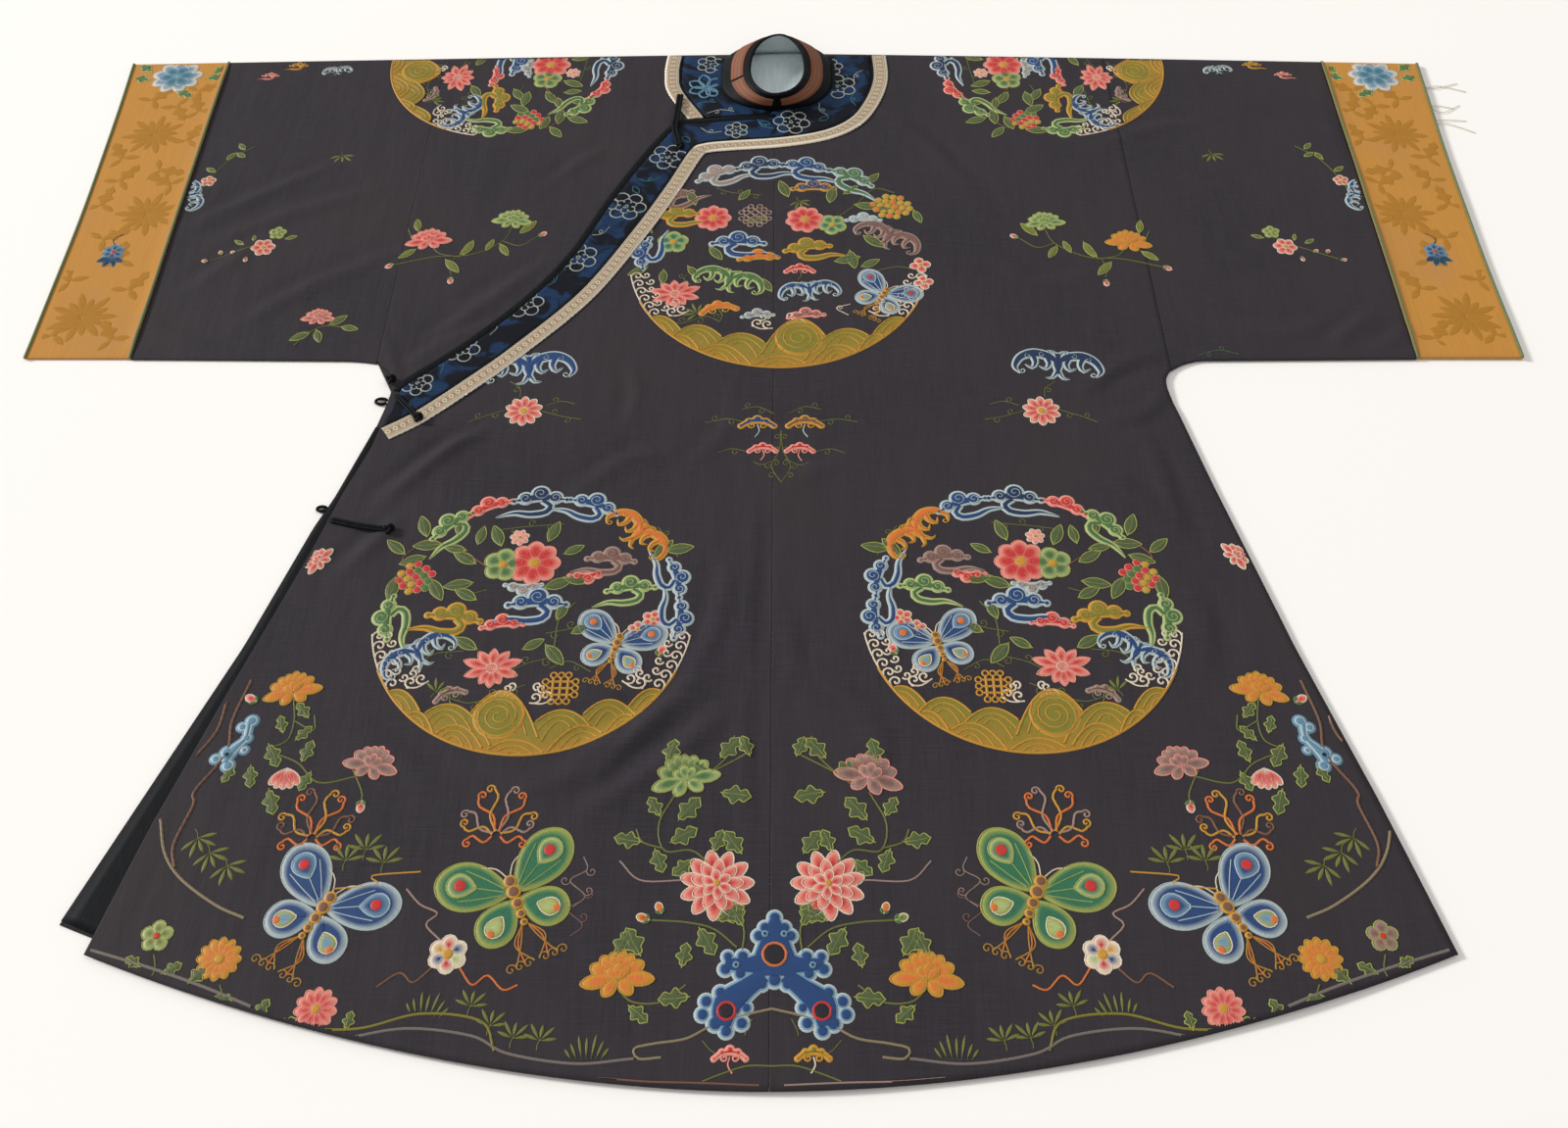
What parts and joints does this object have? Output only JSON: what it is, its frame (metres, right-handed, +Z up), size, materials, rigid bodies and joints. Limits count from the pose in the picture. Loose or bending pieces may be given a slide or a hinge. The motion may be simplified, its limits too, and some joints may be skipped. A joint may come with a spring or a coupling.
{
  "type": "embroidered silk informal robe, laid flat",
  "caption": "Wide-sleeved dark silk robe laid flat, with a slanting side-fastened front, satin and ribbon neck bands, gold damask cuffs and embroidered roundels.",
  "frame": {"origin": "centre of the flat underside, on the surface that the robe lies on", "axes": "+X towards the wearer's left cuff, +Y from the hem to the collar, +Z up through the front"},
  "size_m": [1.754, 1.374, 0.0386],
  "materials": {
    "aubergine_silk": "fine plain silk gauze with a soft sheen",
    "gold_damask": "silk damask, tone on tone",
    "green_piping_silk": "narrow silk piping",
    "black_satin": "satin",
    "blue_brocade": "blue and black patterned satin",
    "cream_ribbon": "woven ribbon",
    "rust_ribbon": "woven ribbon",
    "pale_lining_silk": "plain silk lining"
  },
  "bodies": {
    "root": {"body_left": "aubergine_silk", "body_right": "aubergine_silk", "overlap_front": "aubergine_silk", "sleeve_left": "aubergine_silk", "sleeve_right": "aubergine_silk", "cuff_left": "gold_damask", "cuff_right": "gold_damask", "cuff_piping_inner_left": "green_piping_silk", "cuff_piping_outer_left": "green_piping_silk", "cuff_piping_inner_right": "green_piping_silk", "cuff_piping_outer_right": "green_piping_silk", "side_facing": "black_satin", "neck_lining": "pale_lining_silk", "yoke_main": "blue_brocade", "yoke_shoulder": "blue_brocade", "trim_main": "cream_ribbon", "trim_shoulder": "cream_ribbon", "overlap_binding": "black_satin", "collar_stand": "black_satin", "collar_ribbon_long": "rust_ribbon", "collar_ribbon_short": "rust_ribbon", "closure_strap_collarbone": "black_satin", "closure_knot_collarbone": "black_satin", "closure_strap_armpit": "black_satin", "closure_knot_armpit": "black_satin", "closure_strap_side": "black_satin", "closure_knot_side": "black_satin", "closure_knot_underarm": "black_satin", "closure_loop_armpit": "black_satin", "closure_loop_side": "black_satin"}
  },
  "joints": []
}
